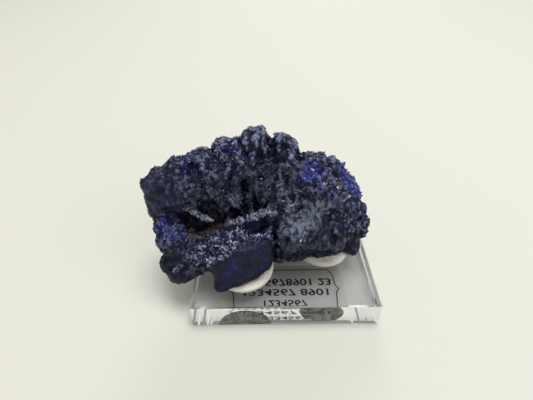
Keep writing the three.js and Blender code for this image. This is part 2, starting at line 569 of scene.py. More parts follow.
@dataclass(frozen=True)
class AzuriteCrystal(Finish):
    """Azurite in small free crystals, whose flat faces are like dark blue glass.

    A face that catches a light flashes white and its neighbours stay nearly black. Some crystals
    are pale grey, part bloom and part painted glint, more so where they stand proud, and those deep
    in a crease are painted darkest, which is painted shade.
    """

    name: ClassVar[str] = "azurite_crystal"
    deep: str = "#0c1026"
    blue: str = "#2a35a0"
    # part bloom, part painted glint, on the crystals that stand proud
    bloom_and_painted_sheen: str = "#b4b8ce"
    chalky: str = "#98a3b2"
    rusty: str = "#6b5233"
    ior: float = 1.75
    gloss: tuple[float, float] = (0.05, 0.28)

    def sockets(self, tree: NodeTree) -> dict:
        """Colours each crystal by its tone and by the marks of the skin that it stands on.

        Args:
            tree: the node tree of the material.

        Returns:
            The sockets of a glassy crystal.
        """
        tone, vivid, chalk, stain, bloom_and_painted_sheen, proud = (
            add_node(tree, "ShaderNodeAttribute", output="Fac", attribute_name=name)
            for name in ("tone", *MARKS)
        )
        colour = layered(
            tree,
            self.deep,
            (self.blue, vivid, (tone, 0.9, 0.1)),
            (self.chalky, chalk, (tone, 0.2, 0.8)),
            (self.rusty, stain, (tone, 0.1, 0.7)),
            # painted glint, part bloom: pale grey on some crystals, more where they stand proud
            (self.bloom_and_painted_sheen, bloom_and_painted_sheen, (tone, 0.5, 0.85), (proud, -0.2, 0.3)),
            # painted shade: the deep colour again on crystals deep in a crease
            (self.deep, (proud, -0.1, -0.5)),
        )
        roughness = product(tree, (tone, 0, 1, *self.gloss))
        return {"Base Color": colour, "Roughness": roughness, "IOR": self.ior}


@dataclass(frozen=True)
class CastAcrylic(Finish):
    """Polished cast acrylic: water clear, with bright edges where light runs out of its sides."""

    name: ClassVar[str] = "cast_acrylic"
    tint: str = "#fafbff"
    ior: float = 1.49
    polish: float = 0.01
    absorbed: str = "#e6ebe4"
    density: float = 3.0  # per metre, so that the thickness of a block hardly tints what is seen

    def sockets(self, tree: NodeTree) -> dict:
        """Makes the block clear and polished."""
        return {
            "Base Color": linear(self.tint),
            "Roughness": self.polish,
            "IOR": self.ior,
            "Transmission Weight": 1,
        }

    def body(self, tree: NodeTree) -> dict:
        """Tints the inside of the block a little."""
        inputs = {"Color": linear(self.absorbed), "Density": self.density}
        return {"Volume": add_node(tree, "ShaderNodeVolumeAbsorption", inputs)}


@dataclass(frozen=True)
class MountingPutty(Finish):
    """White mounting putty pressed flat by hand: soft and slightly waxy, greyer towards the middle of
    its top, with painted shade on its bottom where it is stuck to the block.
    """

    name: ClassVar[str] = "mounting_putty"
    white: str = "#faf6ea"
    grey: str = "#9d9b95"
    # painted shade on the bottom where it is stuck to the block and is seen through it
    pressed: str = "#2b2a28"  # where it is stuck to the block and is seen through it
    smear: float = 2.2  # mm between one smear of dust and the next
    rings: float = 9.0  # smears that follow the rim, from there to the middle
    depth: Point = (1.2, 1.1, 0.9)  # mm that red, green and blue light go into it

    def sockets(self, tree: NodeTree) -> dict:
        """Greys the dab's top in rings and paints shade where its bottom is stuck to the block.

        Args:
            tree: the node tree of the material.

        Returns:
            The sockets of waxy putty.
        """
        place = add_node(tree, "ShaderNodeTexCoord", output="Object")
        worn, stuck_painted_shade = (
            add_node(tree, "ShaderNodeAttribute", output="Fac", attribute_name=name)
            for name in ("worn", "stuck_painted_shade")
        )
        grain = {"Detail": 5, "Roughness": 0.65, "Distortion": 1.4}
        inputs = {"Vector": place, "Scale": 1 / (self.smear * MM)} | grain
        smears = add_node(tree, "ShaderNodeTexNoise", inputs)
        across = add_node(tree, "ShaderNodeMath", {0: worn, 1: smears})
        inputs = {"W": across, "Scale": self.rings, "Detail": 3}
        rings = add_node(tree, "ShaderNodeTexNoise", inputs, noise_dimensions="1D")
        colour = layered(
            tree,
            self.white,
            # greyer in smeared rings towards the middle of the top
            (self.grey, (worn, 0, 0.5), (rings, 0.42, 0.62)),
            # painted shade on the bottom where it is stuck to the block
            (self.pressed, stuck_painted_shade, (smears, 0.46, 0.54)),
        )
        bump = {"Height": smears, "Strength": 0.25, "Distance": 0.2 * MM}
        return {
            "Base Color": colour,
            "Roughness": 0.55,
            "Normal": add_node(tree, "ShaderNodeBump", bump),
            "Subsurface Weight": 0.15,
            "Subsurface Radius": Vector(self.depth) * MM,
            "Subsurface Scale": 1,
        }


@dataclass(frozen=True)
class PolyesterFilm(Finish):
    """Clear polyester label film, a little hazy from its print coating."""

    name: ClassVar[str] = "polyester_film"
    tint: str = "#fdfdfd"
    ior: float = 1.05  # glued to the block, so that hardly any light is thrown back between them
    veil: float = 0.02  # share of the light that its print coating scatters
    haze: float = 0.1

    def sockets(self, tree: NodeTree) -> dict:
        """Makes the film clear but for its haze."""
        return {
            "Base Color": linear(self.tint),
            "Roughness": self.haze,
            "IOR": self.ior,
            "Transmission Weight": 1 - self.veil,
        }


@dataclass(frozen=True)
class LaserToner(Finish):
    """Black laser toner, fused on the film: dense, with worn grey edges where it is thin."""

    name: ClassVar[str] = "laser_toner"
    black: str = "#1b1b1e"
    thin: str = "#4a4a4e"
    speckle: float = 0.25  # mm between one thin spot and the next

    def sockets(self, tree: NodeTree) -> dict:
        """Thins the black of the print in spots.

        Args:
            tree: the node tree of the material.

        Returns:
            The sockets of toner.
        """
        place = add_node(tree, "ShaderNodeTexCoord", output="Object")
        inputs = {"Vector": place, "Scale": 1 / (self.speckle * MM), "Detail": 2}
        spots = add_node(tree, "ShaderNodeTexNoise", inputs)
        worn = add_node(tree, "ShaderNodeMapRange", {0: spots, 1: 0.55, 2: 0.75})
        return {"Base Color": layered(tree, self.black, (self.thin, worn)), "Roughness": 0.5}


@dataclass(frozen=True)
class PaperSweep(Finish):
    """Uncoated off-white paper, matt, as it lies under the specimen."""

    name: ClassVar[str] = "paper_sweep"
    white: str = "#f1f0e6"

    def sockets(self, tree: NodeTree) -> dict:
        """Makes the paper matt."""
        return {"Base Color": linear(self.white), "Roughness": 0.9, "Specular IOR Level": 0.1}


# ---- the stone ----


@dataclass(frozen=True)
class Lobe:
    """A rounded lump that fills a joint between the big masses of the stone, in millimetres."""

    at: Point
    radii: Point
    turn: float = 0.0  # degrees about the upright axis
    lean: float = 0.0  # degrees about the lobe's own y axis after the turn

    def add_to(self, shells: BMesh) -> None:
        """Adds the lobe to a mesh of closed shells."""
        place = (
            Matrix.Translation(self.at)
            @ Matrix.Rotation(math.radians(self.turn), 4, "Z")
            @ Matrix.Rotation(math.radians(self.lean), 4, "Y")
            @ Matrix.Diagonal((*self.radii, 1))
        )
        bmesh.ops.create_icosphere(shells, subdivisions=3, radius=1, matrix=place)


@dataclass
class Stone:
    """The azurite cluster itself, from the CAD solid to its worked skin."""

    node: str = "azurite_cluster"
    coarse: float = 0.8  # mm between the vertices while the big forms are made
    fine: float = 0.35  # mm between the vertices of the finished skin
    softening: int = 6  # how often the joined solids are smoothed
    relief_scales: tuple[tuple[int, float], ...] = ((12, 1.0), (90, 0.4))  # smoothings, and shares
    lowest: float = 8.35  # mm, which keeps the stone off the block
    lump: float = 6  # mm from one lump to the next
    draw: float = 0.62  # how much the grains are drawn out upwards, as the inverse
    grain_sizes: tuple[tuple[float, float], ...] = ((1.5, 1), (0.85, 0.5))  # mm, and their shares
    step_height: float = 3.4  # mm from one step of the crest to the next
    stripe: float = 0.95  # mm from one growth stripe to the next
    stripe_pole: Point = (-27, -24, 33)  # the stripes are rings about it
    fillers: tuple[Lobe, ...] = (
        Lobe((-33.9, -8, 33.3), (3.1, 3.2, 4.8)),  # the outer edge of the wing
        Lobe((-28, -1.5, 35.5), (4.5, 4.5, 3)),  # between the wing and the crest
        Lobe((-31, -5, 25.5), (4.5, 4, 3.6)),  # the back wall of the cave
        Lobe((-30.5, -2, 21), (4.5, 5, 4.5)),
        Lobe((-22.2, -9.3, 25.7), (4.4, 1.2, 1.0), lean=32),  # the ridge in the cave
        Lobe((-18.5, -12.3, 16.6), (6, 4, 5), lean=-6),  # the saddle between rim and band
        Lobe((-14.8, -12.2, 19.5), (4.5, 4, 2.9)),
        Lobe((-24, -13.5, 17.5), (5, 4, 3.4)),
        Lobe((-10.4, -9.1, 25), (7.8, 1.4, 1.0), turn=-6, lean=-26),  # the rim of the front plate
        Lobe((-20, -8.5, 19.8), (3.6, 2, 1.7), lean=-12),  # the ledge under the cave
        Lobe((-17.2, -20, 10.6), (2.6, 2.4, 2.2)),  # its tip
        Lobe((-13.5, -18.5, 12.2), (3.6, 3, 3.4)),  # and its lower edge
        Lobe((-9.5, -17, 13.5), (3.6, 3, 3.8)),
        Lobe((-6.4, -15.6, 16), (3.3, 3, 4.6)),
        Lobe((-12.8, -17, 19.6), (4, 2.6, 2.8)),  # and its upper edge
        Lobe((-6.4, -14.4, 20), (3.6, 2.6, 2.5)),
        Lobe((-28.3, -16.3, 11.2), (4.2, 3.2, 2.6)),  # the lowest of the corner lobes
        Lobe((1.3, -12.5, 21.5), (3.8, 3.8, 6)),  # the left side of the chalky lobe
        Lobe((3.6, -12.5, 22), (5.2, 3.8, 5)),  # and its middle
        Lobe((-0.3, -7.5, 26.5), (4.6, 4.5, 4.2)),  # between the folds and the chalky lobe
        Lobe((-3.4, -9.5, 22.5), (2.6, 2.4, 3.4)),  # the back wall of the slot beside it
        Lobe((10, -8, 33), (6, 5, 3.5)),
        Lobe((13.6, -11.2, 16.5), (3.6, 2.6, 4)),  # the small lobe under the dome
        Lobe((14.3, -11.3, 21), (3, 1.3, 1.1), turn=-10, lean=35),  # the spur over it
    )
    creases: tuple[tuple[Patch, float], ...] = (
        (Patch((-10.9, -6, 34), (0.9, 4, 2), end=(-11, -6, 25)), 2.6),
        (Patch((-8.2, -5, 30), (0.8, 4, 2), end=(-7.4, -5, 24)), 2.2),
        (Patch((-10.7, -2, 40.4), (0.8, 3, 1), end=(-6, -4, 35)), 2.0),
        (Patch((-7.3, -1, 45), (0.5, 4, 1), end=(-7.5, -1, 40)), 0.5),
        (Patch((-3.4, 0, 42), (0.9, 4, 2), end=(-3.2, -4, 33)), 2.0),
        (Patch((-0.5, -2, 41), (1.6, 4, 2), end=(-1.8, -5, 35.5)), 1.6),
        (Patch((-2.9, -10, 24), (0.8, 6, 2), end=(-2.9, -10, 12)), 1.2),
        (Patch((10, -12, 28), (1, 4, 1.4), end=(13, -11, 20)), 1.4),
        (Patch((-9.5, -10, 22.8), (1.6, 3, 1.5), end=(-5, -9.5, 23)), 2.6),
        (Patch((-29.5, -10.5, 28.8), (2.2, 3, 1.3), end=(-22, -8.5, 30)), 2.2),
        (Patch((-20, -6.5, 27), (2, 2.5, 1.2), end=(-14, -6, 24.5)), 1.8),
        (Patch((-31.5, -15.5, 14.2), (1, 3, 0.8), end=(-26.5, -17.5, 15.6)), 1.0),
        (Patch((2, -14, 13), (5, 4, 2.6), end=(12, -13, 14)), 1.7),
        (Patch((8, -12, 10), (2, 3, 1.3), end=(14, -12, 11)), 0.9),
        (Patch((2.5, -14, 15.5), (1.1, 3, 1.1), end=(7, -13, 20.5)), 1.5),
        (Patch((7, -13, 20.5), (1.1, 3, 1.1), end=(12.5, -12, 27)), 1.5),
    )
    marks: dict[str, Array] = field(default_factory=dict)

    def build(self, finish: AzuriteCrust) -> Object:
        """Makes the stone.

        Args:
            finish: the finish of its skin.

        Returns:
            The piece that stands for the CAD cluster.
        """
        shells = bmesh.new()
        shells.from_mesh(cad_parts[self.node].data)
        bmesh.ops.remove_doubles(shells, verts=shells.verts, dist=1e-6)
        bmesh.ops.scale(shells, vec=(1 / MM,) * 3, verts=shells.verts)
        for filler in self.fillers:
            filler.add_to(shells)
        skin = self.carve(remeshed(shells, self.coarse), self.big_forms, self.softening)
        shells = bmesh.new()
        shells.from_mesh(skin)
        skin = self.carve(remeshed(shells, self.fine), self.small_forms, 1)
        self.marks = traits_at(read_points(skin)) | {"proud": self.proud(skin)}
        for name in MARKS:
            write_attribute(skin, name, self.marks[name])
        return finish_piece("azurite_stone", skin, finish.material(), [self.node])

    @staticmethod
    def softened(skin: Mesh, times: int) -> Array:
        """Works out where the vertices of a skin are once it is smoothed.

        Args:
            skin: the mesh, which stays as it is.
            times: how many times it is smoothed.

        Returns:
            Rows of x, y and z.
        """
        worked = bmesh.new()
        worked.from_mesh(skin)
        for _ in range(times):
            bmesh.ops.smooth_vert(
                worked, verts=worked.verts, factor=0.5, use_axis_x=True, use_axis_y=True, use_axis_z=True
            )
        points = np.array([vertex.co for vertex in worked.verts])
        worked.free()
        return points

    def proud(self, skin: Mesh) -> Array:
        """Tells how far each vertex stands out of the smoothed skin, in millimetres; the finishes paint
        sheen where it is high and shade where it is low.

        Args:
            skin: the mesh.

        Returns:
            One height for each vertex, below zero in a crease.
        """
        points, normals = read_points(skin), read_points(skin, "normal")
        heights = (
            share * np.einsum("ij,ij->i", points - self.softened(skin, times), normals)
            for times, share in self.relief_scales
        )
        return sum(heights)

    def carve(self, skin: Mesh, relief: Callable[[Array], Array], softening: int) -> Mesh:
        """Softens a skin and moves it out and in by a relief.

        Args:
            skin: the mesh, changed in place.
            relief: the height at each of some points.
            softening: how many times the skin is smoothed first.

        Returns:
            The same mesh.
        """
        write_points(skin, self.softened(skin, softening))
        points = read_points(skin)
        points += relief(points)[:, None] * read_points(skin, "normal")
        points[:, 2] = np.maximum(points[:, 2], self.lowest)
        write_points(skin, points)
        return skin

    def big_forms(self, points: Array) -> Array:
        """Gives the relief of the lumps, blades and steps at each point.

        Args:
            points: rows of x, y and z.

        Returns:
            The heights, less the creases.
        """
        traits = traits_at(points)
        lumps = sample(lambda p: noise.fractal(p / self.lump, 0.8, 2.1, 3), points)
        blades = sample(self.blade, points)
        steps = sample(self.step, points)
        cuts = sum(depth * patch.weight(points) for patch, depth in self.creases)
        relief = traits["lumps"] * lumps + traits["blades"] * blades + traits["steps"] * steps
        return relief - cuts

    def small_forms(self, points: Array) -> Array:
        """Gives the relief of the grains and stripes at each point.

        Args:
            points: rows of x, y and z.

        Returns:
            The heights.
        """
        traits = traits_at(points)
        drawn = points * (1, 1, self.draw)
        grains = sum(
            share * sample(lambda p, size=size: self.grain(p, size), drawn)
            for size, share in self.grain_sizes
        )
        wander = sample(lambda p: noise.noise(p / 3), points)
        reach = np.linalg.norm(points - self.stripe_pole, axis=1) + 0.8 * wander
        stripes = np.sin(2 * math.pi * reach / self.stripe)
        return traits["grains"] * grains + traits["stripes"] * stripes

    @staticmethod
    def blade(point: Vector) -> float:
        """Gives the height of the upright blades, which run down the stone in wandering ridges.

        Args:
            point: where, in millimetres.

        Returns:
            About 0.6 on a ridge, and less than zero between two.
        """
        bent = point + 1.6 * noise.noise_vector(point / 5)
        wide = abs(noise.noise(Vector((bent.x / 2.6, bent.y / 5, bent.z / 9))))
        narrow = abs(noise.noise(Vector((bent.x / 1.3 + 9, bent.y / 3, bent.z / 5))))
        return 0.62 - 2.2 * wide - 0.5 * narrow

    def step(self, point: Vector) -> float:
        """Gives the height of the crest's stair steps at a point.

        Args:
            point: where, in millimetres.

        Returns:
            From 0.5 at the foot of a step to -0.5 at its top.
        """
        climb = (point.z + 0.45 * point.x + 1.5 * noise.noise(point / 4)) / self.step_height
        rise = climb - math.floor(climb)
        return 0.5 - rise

    @staticmethod
    def grain(point: Vector, size: float) -> float:
        """Gives the height of blocky grains, each with a flat top that leans its own way.

        Args:
            point: where, in millimetres.
            size: the distance from one grain to the next.

        Returns:
            About 1 on top of a grain and -1 in a crease.
        """
        place = point / size
        nearest, middles = noise.voronoi(place)
        lean = noise.cell_vector(middles[0]) - Vector((0.5, 0.5, 0.5))
        return 0.8 - 2.2 * nearest[0] ** 2 + 2.6 * lean.dot(place - middles[0])


# ---- the crystals ----


@dataclass(frozen=True)
class Habit:
    """A shape that the crystals grow in, as a share of a crystal's length."""

    sides: int
    width: float
    thickness: float
    taper: float
    slant: float

    def shape(self) -> Mesh:
        """Makes one crystal that stands on the origin and is one unit long.

        Returns:
            A mesh with a UV map in which none of its faces overlap.
        """
        crystal = bmesh.new()
        crystal.loops.layers.uv.new("OFBake")
        bmesh.ops.create_cone(
            crystal,
            cap_ends=True,
            cap_tris=False,
            segments=self.sides,
            radius1=0.5,
            radius2=0.5 * self.taper,
            depth=1,
            calc_uvs=True,
        )
        for vertex in crystal.verts:
            if vertex.co.z > 0:
                vertex.co.z += self.slant * vertex.co.x
        bmesh.ops.scale(crystal, vec=(self.width, self.thickness, 1), verts=crystal.verts)
        bmesh.ops.translate(crystal, vec=(0, 0, 0.5), verts=crystal.verts)
        return as_mesh("crystal", crystal)


@dataclass
class Druse:
    """The crust of small crystals that covers the stone, in joined pieces from left to right."""

    pieces: int = 2
    sunk: float = 0.7  # share of a crystal's length that is in the stone
    lean: float = 0.6  # how far crystals lean away from the surface's normal
    spread: float = 0.32  # how much the lengths differ
    clear: float = 9.6  # mm, below which no crystal grows downwards into the block
    habits: tuple[Habit, ...] = (
        Habit(sides=6, width=0.8, thickness=0.5, taper=0.75, slant=0.5),
        Habit(sides=5, width=0.7, thickness=0.6, taper=0.6, slant=0.35),
        Habit(sides=4, width=0.85, thickness=0.5, taper=0.85, slant=-0.45),
    )

    def build(self, skin: Mesh, marks: dict[str, Array], finish: AzuriteCrystal) -> list[Object]:
        """Grows the crystals.

        Args:
            skin: the finished stone's mesh that they stand on, in metres.
            marks: the stone's traits at each of its vertices.
            finish: the finish of the crystals.

        Returns:
            The joined pieces.
        """
        rng = np.random.default_rng(SEED)
        roots, normals, traits = self.scatter(skin, marks, rng)
        order = np.argsort(roots[:, 0], kind="stable")
        material = finish.material()
        made = []
        for number, chosen in enumerate(np.array_split(order, self.pieces), start=1):
            own = {name: values[chosen] for name, values in traits.items()}
            mesh = self.grow(roots[chosen], normals[chosen], own, rng)
            made.append(finish_piece(f"druse_{number}", mesh, material, smooth=False))
        return made

    def scatter(
        self, skin: Mesh, marks: dict[str, Array], rng: np.random.Generator
    ) -> tuple[Array, Array, dict[str, Array]]:
        """Picks where crystals grow, more of them where the zone has more.

        Args:
            skin: the stone's mesh, in metres.
            marks: the stone's traits at each of its vertices.
            rng: the source of the draws.

        Returns:
            The root of each crystal in millimetres, the stone's normal there, and its traits.
        """
        skin.calc_loop_triangles()
        corners = read_rows(skin.loop_triangles, "vertices", 3)
        points, normals = read_points(skin) / MM, read_points(skin, "normal")
        a, b, c = (points[corners[:, i]] for i in range(3))
        middle = (a + b + c) / 3
        area = np.linalg.norm(np.cross(b - a, c - a), axis=1) / 2
        share = area * marks["crystals"][corners].mean(axis=1)
        facing = normals[corners].mean(axis=1)
        share[(middle[:, 2] < self.clear) & (facing[:, 2] < 0)] = 0
        count = round(share.sum())
        log.info("stone skin %.0f mm2, %d crystals on it", area.sum(), count)
        chosen = rng.choice(len(share), size=count, p=share / share.sum())
        u, v = rng.random((2, count, 1))
        u, v = np.where(u + v > 1, 1 - u, u), np.where(u + v > 1, 1 - v, v)
        roots = a[chosen] + u * (b - a)[chosen] + v * (c - a)[chosen]
        traits = {name: values[corners[chosen]].mean(axis=1) for name, values in marks.items()}
        return roots, facing[chosen], traits

    def grow(
        self,
        roots: Array,
        normals: Array,
        traits: dict[str, Array],
        rng: np.random.Generator,
    ) -> Mesh:
        """Stands a crystal on every root and joins them in one mesh.

        Args:
            roots: where the crystals stand, in millimetres.
            normals: the stone's normals there.
            traits: the stone's traits there.
            rng: the source of the draws.

        Returns:
            The joined mesh, with the tone and colours of each crystal and a UV cell for each.
        """
        count = len(roots)
        axis = normals + self.lean * rng.normal(size=(count, 3))
        axis /= np.linalg.norm(axis, axis=1, keepdims=True)
        side = np.cross(axis, rng.normal(size=(count, 3)))
        side /= np.linalg.norm(side, axis=1, keepdims=True)
        length = traits["length"] * np.exp(np.clip(rng.normal(0, self.spread, count), -1, 0.6))
        turn = np.stack([side, np.cross(axis, side), axis], axis=2) * length[:, None, None]
        base = roots - axis * (self.sunk * length)[:, None]
        habit = rng.integers(len(self.habits), size=count)
        tone = rng.random(count)
        cells = math.ceil(math.sqrt(count))
        margin = 0.04  # share of a cell that is left free at each of its sides
        verts, loops, starts, uvs, extra = [], [], [], [], []
        vert_count = loop_count = 0
        for number, kind in enumerate(self.habits):
            shape = kind.shape()
            mine = np.flatnonzero(habit == number)
            own = read_points(shape)
            corner = read_rows(shape.loops, "vertex_index", 1)[:, 0]
            start = read_rows(shape.polygons, "loop_start", 1)[:, 0]
            uv = read_rows(shape.uv_layers["OFBake"].data, "uv", 2, np.float32)
            bpy.data.meshes.remove(shape)
            placed = np.einsum("nij,vj->nvi", turn[mine], own) + base[mine, None]
            verts.append(placed.reshape(-1, 3))
            copies = np.arange(len(mine))
            loops.append((vert_count + copies[:, None] * len(own) + corner).ravel())
            starts.append((loop_count + copies[:, None] * len(corner) + start).ravel())
            cell = np.stack([mine % cells, mine // cells], axis=1)[:, None]
            uvs.append(((cell + margin + (1 - 2 * margin) * uv) / cells).reshape(-1, 2))
            extra.append(np.repeat(mine, len(own)))
            vert_count += len(mine) * len(own)
            loop_count += len(mine) * len(corner)
        mesh = bpy.data.meshes.new("druse")
        mesh.vertices.add(vert_count)
        mesh.loops.add(loop_count)
        mesh.polygons.add(sum(len(one) for one in starts))
        mesh.vertices.foreach_set("co", np.concatenate(verts).astype(np.float32).ravel())
        mesh.loops.foreach_set("vertex_index", np.concatenate(loops))
        mesh.polygons.foreach_set("loop_start", np.concatenate(starts))
        mesh.update(calc_edges=True)
        layer = mesh.uv_layers.new(name="OFBake")
        layer.data.foreach_set("uv", np.concatenate(uvs).astype(np.float32).ravel())
        owner = np.concatenate(extra)
        write_attribute(mesh, "tone", tone[owner])
        for name in MARKS:
            write_attribute(mesh, name, traits[name][owner])
        return mesh


# ---- the putty ----


@dataclass
class PuttyDab:
    """A dab of putty, squashed between the block and the stone."""

    node: str
    swirl: float = 0.22  # mm, how deep the smears in its top are
    squareness: float = 3.2  # how flat its top is for how round its rim is
    reach: float = 2.6  # mm, how far the putty climbs up the stone
    evening: int = 5  # how often that climb is evened out
    worn: tuple[float, float] = (0.95, 0.7)  # shares of its radius between which the wear sets in
    thinnest: float = 0.4  # mm of putty that is left under the stone
    bite: float = 0.2  # mm that it reaches into the stone
    pressed: float = 0.35  # mm of its bottom that is pressed flat on the block
    contact: float = 0.04  # mm that it reaches into the block, as no air is left between them
    margin: float = 0.15  # mm above the flat bottom where it comes away from the block
    detail: int = 6

    def build(self, stone: BVHTree, finish: MountingPutty) -> Object:
        """Makes the dab.

        Args:
            stone: the finished stone, in millimetres, that the dab is pressed against.
            finish: the finish of the dab.

        Returns:
            The piece that stands for the CAD dab.
        """
        low, high = (np.array(corner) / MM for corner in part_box(self.node))
        middle, half = (low + high) / 2, (high - low) / 2
        ball = bmesh.new()
        bmesh.ops.create_icosphere(ball, subdivisions=self.detail, radius=1)
        mesh = as_mesh(self.node, ball)
        points = read_points(mesh)
        flat = np.hypot(points[:, 0], points[:, 1])
        power = (flat**self.squareness + np.abs(points[:, 2]) ** self.squareness) ** (
            -1 / self.squareness
        )
        points *= power[:, None]
        top = points[:, 2] > 0
        start, full = self.worn
        inner = np.clip((start - np.hypot(points[:, 0], points[:, 1])) / (start - full), 0, 1)
        points = points * half + middle
        worn = np.where(top, inner, 0)
        smears = sample(self.smear, points)
        points[:, 2] += self.swirl * smears * worn
        lift = np.zeros(len(points))
        for i in np.flatnonzero(worn > 0):
            below = Vector((points[i, 0], points[i, 1], low[2] + self.contact))
            hit = stone.ray_cast(below, Vector((0, 0, 1)))
            if hit[0] is not None and hit[0].z < high[2] + self.reach:
                lift[i] = max(low[2] + self.thinnest, hit[0].z + self.bite) - points[i, 2]
        points[:, 2] += worn * self.evened(mesh, lift)
        rise = np.maximum(points[:, 2] - low[2] - self.pressed, 0)
        drop = (self.pressed + self.contact) * np.clip(1 - rise, 0, 1)
        points[:, 2] = low[2] + self.pressed + rise - drop
        # where the bottom is stuck to the block, which the finish paints as shade
        stuck_painted_shade = np.clip(1 - rise / self.margin, 0, 1)
        write_points(mesh, points)
        write_attribute(mesh, "worn", worn)
        write_attribute(mesh, "stuck_painted_shade", stuck_painted_shade)
        return finish_piece(f"{self.node}_dab", mesh, finish.material(), [self.node])

    def evened(self, mesh: Mesh, values: Array) -> Array:
        """Evens out values at the vertices of a mesh over their neighbours.

        Args:
            mesh: the mesh.
            values: one value for each vertex.

        Returns:
            The evened values.
        """
        one, other = read_rows(mesh.edges, "vertices", 2).T
        for _ in range(self.evening):
            total, count = values.copy(), np.ones(len(values))
            for here, there in ((one, other), (other, one)):
                np.add.at(total, here, values[there])
                np.add.at(count, here, 1)
            values = total / count
        return values

    @staticmethod
    def smear(point: Vector) -> float:
        """Gives the height of the smears that fingers and the stone left in the top."""
        bent = point + 2.5 * noise.noise_vector(point / 4)
        return math.sin(2.4 * bent.x + 1.1 * bent.y) * 0.6 + noise.noise(point / 1.5)


# ---- the block and its label ----


@dataclass
class DisplayBlock:
    """The clear block, whose CAD solid is right as it is."""

    node: str = "acrylic_block"

    def dress(self, finish: CastAcrylic) -> None:
        """Gives the CAD block its finish.

        Args:
            finish: the finish of the block.
        """
        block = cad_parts[self.node]
        block.data.materials.clear()
        block.data.materials.append(finish.material())
        log.info("%s: dressed", self.node)


@dataclass(frozen=True)
class Line:
    """A line of plain numerals on the label, in millimetres."""

    numerals: str
    left: float
    right: float
    front: float
    back: float


